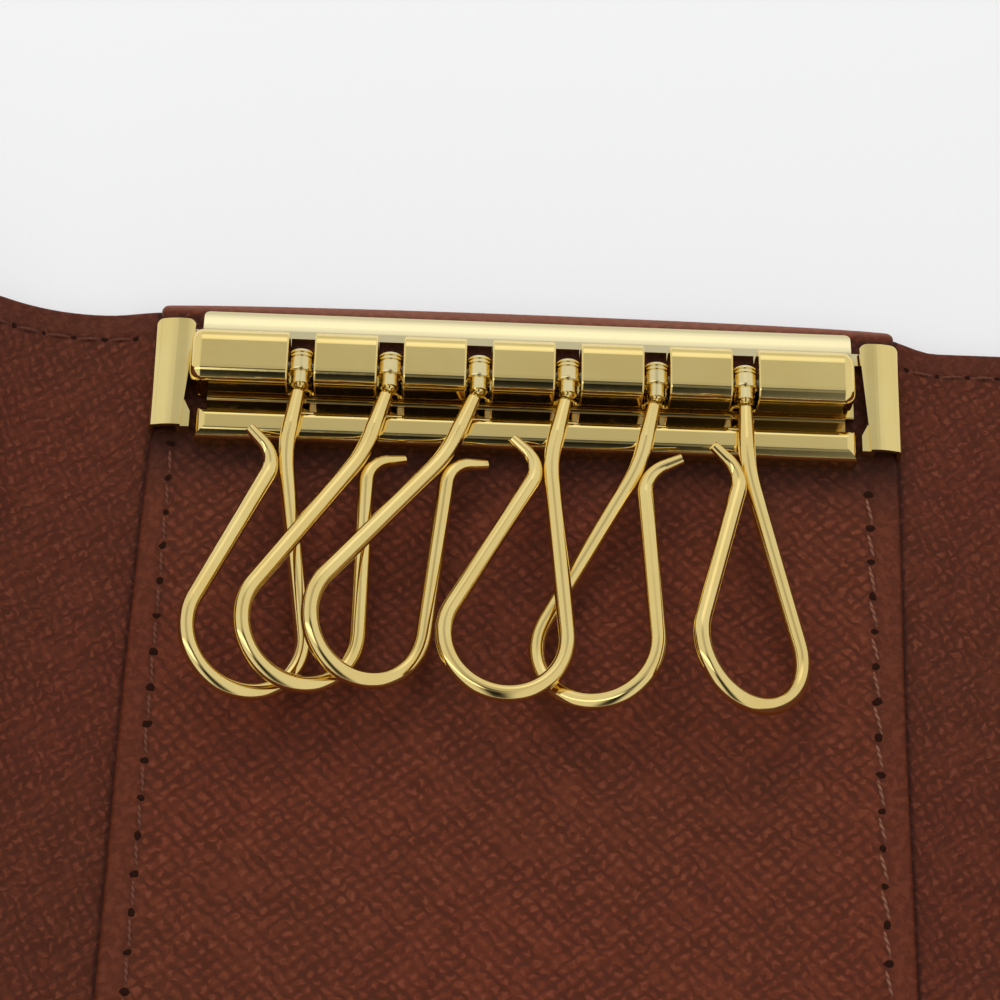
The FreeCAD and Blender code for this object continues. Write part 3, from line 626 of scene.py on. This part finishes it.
def edge_route(side):
    """The sewn line round one side of the case, from the centre's rear edge to its front edge."""
    sewn_y = half_height - edge_inset
    far = panel_end[side] - edge_inset
    bow = flap_corner - edge_inset
    points = [Vector((fold_x + 0.2 * mm, sewn_y)), Vector((far - bow, sewn_y))]
    for i in range(1, 9):
        t = math.pi / 2 * (1 - i / 8)
        points.append(Vector((far - bow + bow * math.cos(t), sewn_y - bow + bow * math.sin(t))))
    points += [Vector((p.x, -p.y)) for p in reversed(points)]
    route = [Vector((side * p.x, p.y)) for p in points]
    lengths = [(b - a).length for a, b in zip(route, route[1:])]
    count = round(sum(lengths) / edge_pitch)
    holes, walked, leg = [route[0]], 0.0, 0
    for i in range(1, count):
        want = sum(lengths) * i / count
        while walked + lengths[leg] < want:
            walked += lengths[leg]
            leg += 1
        holes.append(route[leg].lerp(route[leg + 1], (want - walked) / lengths[leg]))
    holes.append(route[-1])
    return holes


for side, word in ((-1, "left"), (1, "right")):
    holes = edge_route(side)
    near = [h for h in holes if abs(h.x) < mid_spine[side]]
    far = [h for h in holes if abs(h.x) >= mid_spine[side]]
    rear = [h for h in near if h.y > 0] + far[:1]
    front = far[-1:] + [h for h in near if h.y < 0]
    for layer, level, up in (("lining", lining_top, 1), ("cover", cover_bottom, -1)):
        fold_sewing = sew(f"{layer}_{word}_fold_sewing", [rear, front], level, up, (0.04, 0.04))
        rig.blend(fold_sewing, "case_back", word + "_spine",
                 **fold_zone(side, -1.5, mid_spine[side] / mm - 35.5))
        flap_sewing = sew(f"{layer}_{word}_flap_sewing", [far], level, up, (0.04,))
        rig.blend(flap_sewing, word + "_spine", word + "_flap", **flap_zone(side))
rows = [straight_row(Vector((-fold_x, y)), Vector((fold_x, y)), edge_pitch)
        for y in (edge_inset - half_height, half_height - edge_inset)]
back_sewing = sew("cover_centre_sewing", rows, cover_bottom, -1, (0.04, 0.04))
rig.ride(back_sewing, "case_back")

# Bar: a pressed base plate with its rear flange and rolled front rail, and the slotted bar on top.
# Both are polished and gold in tone; fine rubbing marks run along them.


def polished_gold(name, colour, deep, gloss, marks, painted_reflection_from=None, painted_valley_shade=None):
    """Gold-tone metal. Behind painted_reflection_from, in millimetres, a pale painted reflection is laid on;
    low down between the two places of painted_valley_shade it is darkened by painted shade."""
    r = Recipe(name)
    place = r.solid()
    cloud = r.noise(place, 0.16, 3.0)
    haze = r.noise(place, 0.9, 4.0)
    rubbed = r.noise(r.vector("MULTIPLY", place, marks), 1.0, 3.0)
    plate = r.mix(r.step(cloud, 0.3, 0.7, 0.0, 0.6), colour, deep)
    # Painted reflection: behind this line the flange is made pale.
    if painted_reflection_from is not None:
        plate = r.mix(r.step(r.split(place)[1], painted_reflection_from, painted_reflection_from + 0.8), plate, shade(250, 236, 186))
    # Painted shade: low in the valley between bar and rail the metal is darker.
    if painted_valley_shade is not None:
        _, y, z = r.split(place)
        low = r.sum("MULTIPLY", r.step(y, painted_valley_shade[0], painted_valley_shade[0] + 0.2),
                    r.step(y, painted_valley_shade[1], painted_valley_shade[1] + 0.2, 1.0, 0.0))
        plate = r.mix(r.sum("MULTIPLY", low, r.step(z, 5.4, 6.2, 1.0, 0.0)), plate, shade(188, 158, 96))
    r.put(r.skin.inputs["Base Color"], plate)
    r.skin.inputs["Metallic"].default_value = 1.0
    r.put(r.skin.inputs["Roughness"], r.sum("ADD", r.step(haze, 0.45, 0.75, gloss, gloss + 0.06),
                                            r.step(rubbed, 0.62, 0.78, 0.0, 0.06)))
    r.relief(r.sum("MULTIPLY_ADD", rubbed, 0.6, haze), 0.035, 0.05 * mm)
    return r.material


valley_shade_span = (39.9, 41.65)
bar_tones = (shade(245, 221, 146), shade(240, 212, 132))
bar_gold = polished_gold("bar_gold", *bar_tones, gloss=0.045, marks=(0.5, 9.0, 9.0), painted_valley_shade=valley_shade_span)
# The plate's flange carries a painted reflection; bar and plate carry painted shade in the valley.
plate_gold = polished_gold("plate_gold", *bar_tones, gloss=0.045, marks=(0.5, 9.0, 9.0),
                           painted_reflection_from=46.8, painted_valley_shade=valley_shade_span)
dress("slotted_bar", bar_gold)
dress("bar_base_plate", plate_gold)

# Axle rod, rivets, backing plate and stud posts: plain dark steel, mostly out of sight.
steel = Recipe("dark_steel")
steel_place = steel.solid()
drawn = steel.noise(steel.vector("MULTIPLY", steel_place, (0.6, 8.0, 8.0)), 1.0, 3.0)
steel.put(steel.skin.inputs["Base Color"], steel.mix(drawn, shade(92, 86, 76), shade(118, 112, 100)))
steel.skin.inputs["Metallic"].default_value = 1.0
steel.put(steel.skin.inputs["Roughness"], steel.step(drawn, 0.3, 0.7, 0.2, 0.34))
steel.relief(drawn, 0.1, 0.03 * mm)
for node in ("axle_rod", "bar_rivets", "backing_plate", "snap_stud_posts"):
    dress(node, steel.material)

# End clips: bent brass hoods that grip the strip's edges over the tongues of the base plate.
clip_gold = polished_gold("clip_gold", shade(246, 224, 152), shade(240, 214, 138),
                          gloss=0.07, marks=(9.0, 0.5, 9.0))
for node in ("end_clip_left", "end_clip_right"):
    dress(node, clip_gold)

# Swivel barrels: small turned brass knobs with two ring grooves, one on the rod in each slot.
swivel_gold = polished_gold("swivel_gold", shade(240, 224, 170), shade(230, 208, 146),
                            gloss=0.12, marks=(7.0, 1.0, 7.0))
for k in range(1, 7):
    dress(f"swivel_{k}", swivel_gold)

# Key hooks: round brass wire bent to a teardrop with a springy gate, plated pale gold.
# Keys have left light rubbing along the loops.
hook_gold = polished_gold("hook_gold", shade(244, 219, 146), shade(236, 206, 126),
                          gloss=0.08, marks=(4.0, 1.2, 4.0))
for k in range(1, 7):
    dress(f"key_hook_{k}", hook_gold)

# Press snaps: brass studs on the left flap's outside, domed caps and spring sockets on the right flap.
snap_gold = polished_gold("snap_gold", shade(240, 212, 136), shade(226, 194, 118),
                          gloss=0.12, marks=(5.0, 5.0, 1.0))
for node in ("snap_studs", "snap_caps", "snap_sockets"):
    dress(node, snap_gold)

# Table: a plain pale board that runs out of sight behind the case.
table = Recipe("pale_table")
table_tone = table.noise(table.solid(), 0.004, 2.0)
table.put(table.skin.inputs["Base Color"], table.mix(table_tone, shade(230, 230, 231), shade(233, 233, 234)))
table.skin.inputs["Roughness"].default_value = 0.8
table.skin.inputs["Specular IOR Level"].default_value = 0.1
bm = bmesh.new()
table_half, table_level = 4.0, -0.3 * mm
bmesh.ops.create_grid(bm, x_segments=8, y_segments=8, size=table_half)
bmesh.ops.translate(bm, vec=(0, 0, table_level), verts=bm.verts)
floor = finish_mesh(bm, "table", [table.material])
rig.stage(floor)

# Studio: a bright wall behind the table, pale walls at the sides, a grey ceiling with one light strip,
# and a dim room in front. Sky levels are given by the angle behind the zenith, in degrees.
# A soft lamp above the rear of the case throws the hooks' shadows gently towards the viewer.
sky_levels = ((-90, 0.12), (-62, 0.03), (-30, 0.012), (-26, 0.02), (-22, 0.16), (-8, 0.16), (-5, 0.04),
              (-1, 0.05), (4, 0.48), (26, 0.49), (30, 0.54), (36, 0.85), (44, 1.1), (56, 1.1), (64, 0.85),
              (72, 0.66), (90, 0.66))
side_wall = (0.76, 0.76, 0.76, 1.0)
side_wall_from, side_wall_to = 0.06, 0.4
ceiling_strip = (1.6, 1.6, 1.55, 1.0)
ceiling_strip_rear, ceiling_strip_front = (-6, -9), (-26, -23)
ceiling_strip_right = (-0.05, -0.11)
backdrop_white = (0.87, 0.87, 0.875, 1.0)
world = bpy.data.worlds.new("studio")
bpy.context.scene.world = world
world.use_nodes = True
tree = world.node_tree
tree.nodes.clear()
to_sky = tree.nodes.new("ShaderNodeTexCoord")
parts = tree.nodes.new("ShaderNodeSeparateXYZ")
tree.links.new(to_sky.outputs["Generated"], parts.inputs[0])
lean_back = tree.nodes.new("ShaderNodeMath")
lean_back.operation = "ARCTAN2"
tree.links.new(parts.outputs[1], lean_back.inputs[0])
tree.links.new(parts.outputs[2], lean_back.inputs[1])
to_share = tree.nodes.new("ShaderNodeMapRange")
to_share.inputs["From Min"].default_value = -math.pi / 2
to_share.inputs["From Max"].default_value = math.pi / 2
tree.links.new(lean_back.outputs[0], to_share.inputs[0])
sky = tree.nodes.new("ShaderNodeValToRGB")
for angle, level in sky_levels[1:-1]:
    stop = sky.color_ramp.elements.new((angle + 90) / 180)
    stop.color = (level, level, level, 1.0)
sky.color_ramp.elements[0].color = (sky_levels[0][1],) * 3 + (1.0,)
sky.color_ramp.elements[-1].color = (sky_levels[-1][1],) * 3 + (1.0,)
tree.links.new(to_share.outputs[0], sky.inputs[0])
wall = tree.nodes.new("ShaderNodeMath")
wall.operation = "ABSOLUTE"
tree.links.new(parts.outputs[0], wall.inputs[0])
wall_share = tree.nodes.new("ShaderNodeMapRange")
wall_share.interpolation_type = "SMOOTHSTEP"
wall_share.inputs["From Min"].default_value = side_wall_from
wall_share.inputs["From Max"].default_value = side_wall_to
tree.links.new(wall.outputs[0], wall_share.inputs[0])
room = tree.nodes.new("ShaderNodeMix")
room.data_type = "RGBA"
room.inputs[7].default_value = side_wall
tree.links.new(wall_share.outputs[0], room.inputs[0])
tree.links.new(sky.outputs[0], room.inputs[6])
light_bar = None
for source, (low, high) in ((lean_back.outputs[0], map(math.radians, ceiling_strip_front)),
                            (lean_back.outputs[0], map(math.radians, ceiling_strip_rear)),
                            (parts.outputs[0], ceiling_strip_right)):
    window = tree.nodes.new("ShaderNodeMapRange")
    window.inputs["From Min"].default_value = low
    window.inputs["From Max"].default_value = high
    tree.links.new(source, window.inputs[0])
    if light_bar is not None:
        both = tree.nodes.new("ShaderNodeMath")
        both.operation = "MULTIPLY"
        tree.links.new(light_bar, both.inputs[0])
        tree.links.new(window.outputs[0], both.inputs[1])
        light_bar = both.outputs[0]
    else:
        light_bar = window.outputs[0]
lit_room = tree.nodes.new("ShaderNodeMix")
lit_room.data_type = "RGBA"
lit_room.inputs[7].default_value = ceiling_strip
tree.links.new(light_bar, lit_room.inputs[0])
tree.links.new(room.outputs[2], lit_room.inputs[6])
seen = tree.nodes.new("ShaderNodeLightPath")
lit = tree.nodes.new("ShaderNodeBackground")
tree.links.new(lit_room.outputs[2], lit.inputs[0])
white = tree.nodes.new("ShaderNodeBackground")
white.inputs[0].default_value = backdrop_white
choose = tree.nodes.new("ShaderNodeMixShader")
tree.links.new(seen.outputs["Is Camera Ray"], choose.inputs[0])
tree.links.new(lit.outputs[0], choose.inputs[1])
tree.links.new(white.outputs[0], choose.inputs[2])
out = tree.nodes.new("ShaderNodeOutputWorld")
tree.links.new(choose.outputs[0], out.inputs[0])


def soft_lamp(name, place, aim, size, power):
    light = bpy.data.lights.new(name, "AREA")
    light.shape = "RECTANGLE"
    light.size, light.size_y = size
    light.energy = power
    lamp = bpy.data.objects.new(name, light)
    lamp.location = place
    lamp.rotation_mode = "QUATERNION"
    lamp.rotation_quaternion = (Vector(aim) - Vector(place)).to_track_quat("-Z", "Y")
    lamp.visible_glossy = False
    bpy.context.scene.collection.objects.link(lamp)


soft_lamp("rear_soft", (-0.12, 0.62, 0.55), (0, 0, 0), (0.6, 0.35), 3.2)
soft_lamp("top_soft", (0.1, -0.1, 0.9), (0, 0, 0), (0.9, 0.9), 0.9)

# Camera: in front of the case and well above it, as a hand would hold it over the table.
rise, yaw, roll = 1.117, 0.0533, 0.0844
camera_at = (-0.00715, -0.06936, 0.21247)
focal_length, film_width = 96.35, 36
forward = Vector((math.sin(yaw) * math.cos(rise), math.cos(yaw) * math.cos(rise), -math.sin(rise)))
level_right = Vector((math.cos(yaw), -math.sin(yaw), 0))
level_up = level_right.cross(forward)
right = level_right * math.cos(roll) + level_up * math.sin(roll)
upward = level_up * math.cos(roll) - level_right * math.sin(roll)
lens = bpy.data.cameras.new("camera")
lens.lens = focal_length
lens.sensor_width = film_width
lens.clip_start = 0.01
camera = bpy.data.objects.new("camera", lens)
stand = Matrix((right, upward, -forward)).transposed().to_4x4()
stand.translation = Vector(camera_at)
camera.matrix_world = stand
bpy.context.scene.collection.objects.link(camera)
bpy.context.scene.camera = camera
bpy.context.scene.view_settings.view_transform = "Standard"

with open("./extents.json", "w") as size_file:
    json.dump({"cad": [list(c) for c in cad_box], "visual": [list(c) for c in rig.bounds()]}, size_file)
